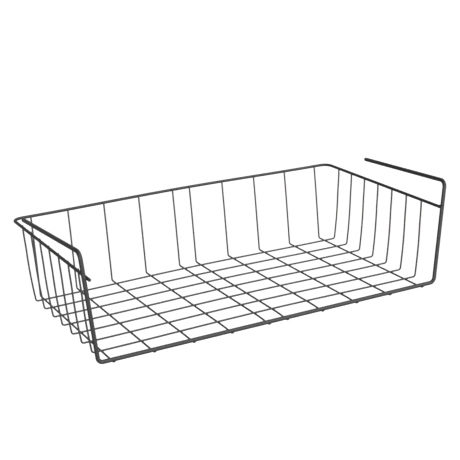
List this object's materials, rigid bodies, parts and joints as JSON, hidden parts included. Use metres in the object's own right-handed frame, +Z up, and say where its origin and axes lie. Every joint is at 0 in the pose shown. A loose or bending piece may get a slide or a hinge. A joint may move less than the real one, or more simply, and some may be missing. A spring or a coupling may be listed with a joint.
{
  "type": "under shelf basket",
  "caption": "Open-fronted coated wire basket that hangs under a shelf by two arms sliding over the board, with a bent wire mesh floor, back and sides.",
  "frame": {"origin": "centre of the footprint, on the surface that the basket stands on when it is taken off its shelf", "axes": "+X to the right as seen from the open front, along the front bar; +Y from the open front to the back; +Z up"},
  "size_m": [0.5036, 0.2704, 0.141],
  "materials": {
    "frame_coating": "satin charcoal coating",
    "rim_coating": "satin charcoal coating",
    "floor_wire_coating": "satin charcoal coating",
    "cross_wire_coating": "satin charcoal coating"
  },
  "bodies": {
    "root": {"hanger_frame": "frame_coating", "rim": "rim_coating", "floor_wire_01": "floor_wire_coating", "floor_wire_02": "floor_wire_coating", "floor_wire_03": "floor_wire_coating", "floor_wire_04": "floor_wire_coating", "floor_wire_05": "floor_wire_coating", "floor_wire_06": "floor_wire_coating", "floor_wire_07": "floor_wire_coating", "floor_wire_08": "floor_wire_coating", "floor_wire_09": "floor_wire_coating", "floor_wire_10": "floor_wire_coating", "cross_wire_1": "cross_wire_coating", "cross_wire_2": "cross_wire_coating", "cross_wire_3": "cross_wire_coating", "cross_wire_4": "cross_wire_coating", "cross_wire_5": "cross_wire_coating", "cross_wire_6": "cross_wire_coating", "cross_wire_7": "cross_wire_coating"}
  },
  "joints": []
}
